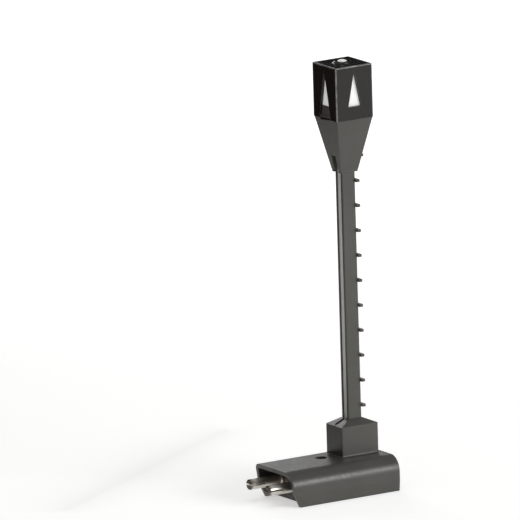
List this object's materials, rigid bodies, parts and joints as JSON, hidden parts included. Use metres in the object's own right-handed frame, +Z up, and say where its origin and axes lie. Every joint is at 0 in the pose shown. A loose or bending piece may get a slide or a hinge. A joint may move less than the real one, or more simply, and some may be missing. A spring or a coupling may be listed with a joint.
{
  "type": "model railway light mast",
  "caption": "Model railway light mast: hollow plug-in base with slotted pins, channel mast with rungs, and a lantern with a lift-off cap and triangular windows.",
  "frame": {"origin": "on the mast's axis, in the resting plane under the base", "axes": "+Z up along the mast; -X the way the plug pins point; -Y the side with the rounded shoulder"},
  "size_m": [0.0265, 0.0126, 0.0806],
  "materials": {
    "base_plastic": "satin moulded grey-olive plastic",
    "floor_plastic": "matt moulded grey plastic",
    "cap_plastic": "high-gloss black plastic",
    "window_white": "milky white translucent plastic",
    "guide_plastic": "frosted translucent plastic",
    "nickel": "bright nickel plate",
    "phenolic": "brown phenolic laminate",
    "board": "paper laminate with lacquer",
    "copper": "tarnished copper foil",
    "lens": "diffused epoxy",
    "tinned_wire": "tinned wire",
    "resistor_coat": "painted coat with colour bands",
    "diode_glass": "orange glass body with a cathode band",
    "solder": "bright solder"
  },
  "bodies": {
    "mast_body": {"base_shell": "base_plastic", "base_floor": "floor_plastic", "mast": "base_plastic", "lantern_funnel": "base_plastic", "light_guide": "guide_plastic", "diffuser": "window_white", "plug_pin_front": "nickel", "plug_pin_rear": "nickel", "pin_carrier": "phenolic", "circuit_board": "board", "board_copper": "copper", "led_lens": "lens", "led_anode": "tinned_wire", "led_cathode": "tinned_wire", "series_resistor": "resistor_coat", "resistor_leads": "tinned_wire", "protection_diode": "diode_glass", "diode_leads": "tinned_wire", "solder_joints": "solder"},
    "cap_body": {"lantern_cap": "cap_plastic"}
  },
  "joints": [
    {"name": "cap_lift", "type": "slide", "parent": "mast_body", "child": "cap_body", "axis": [0, 0, 1], "range_m": [0, 0.011]}
  ]
}
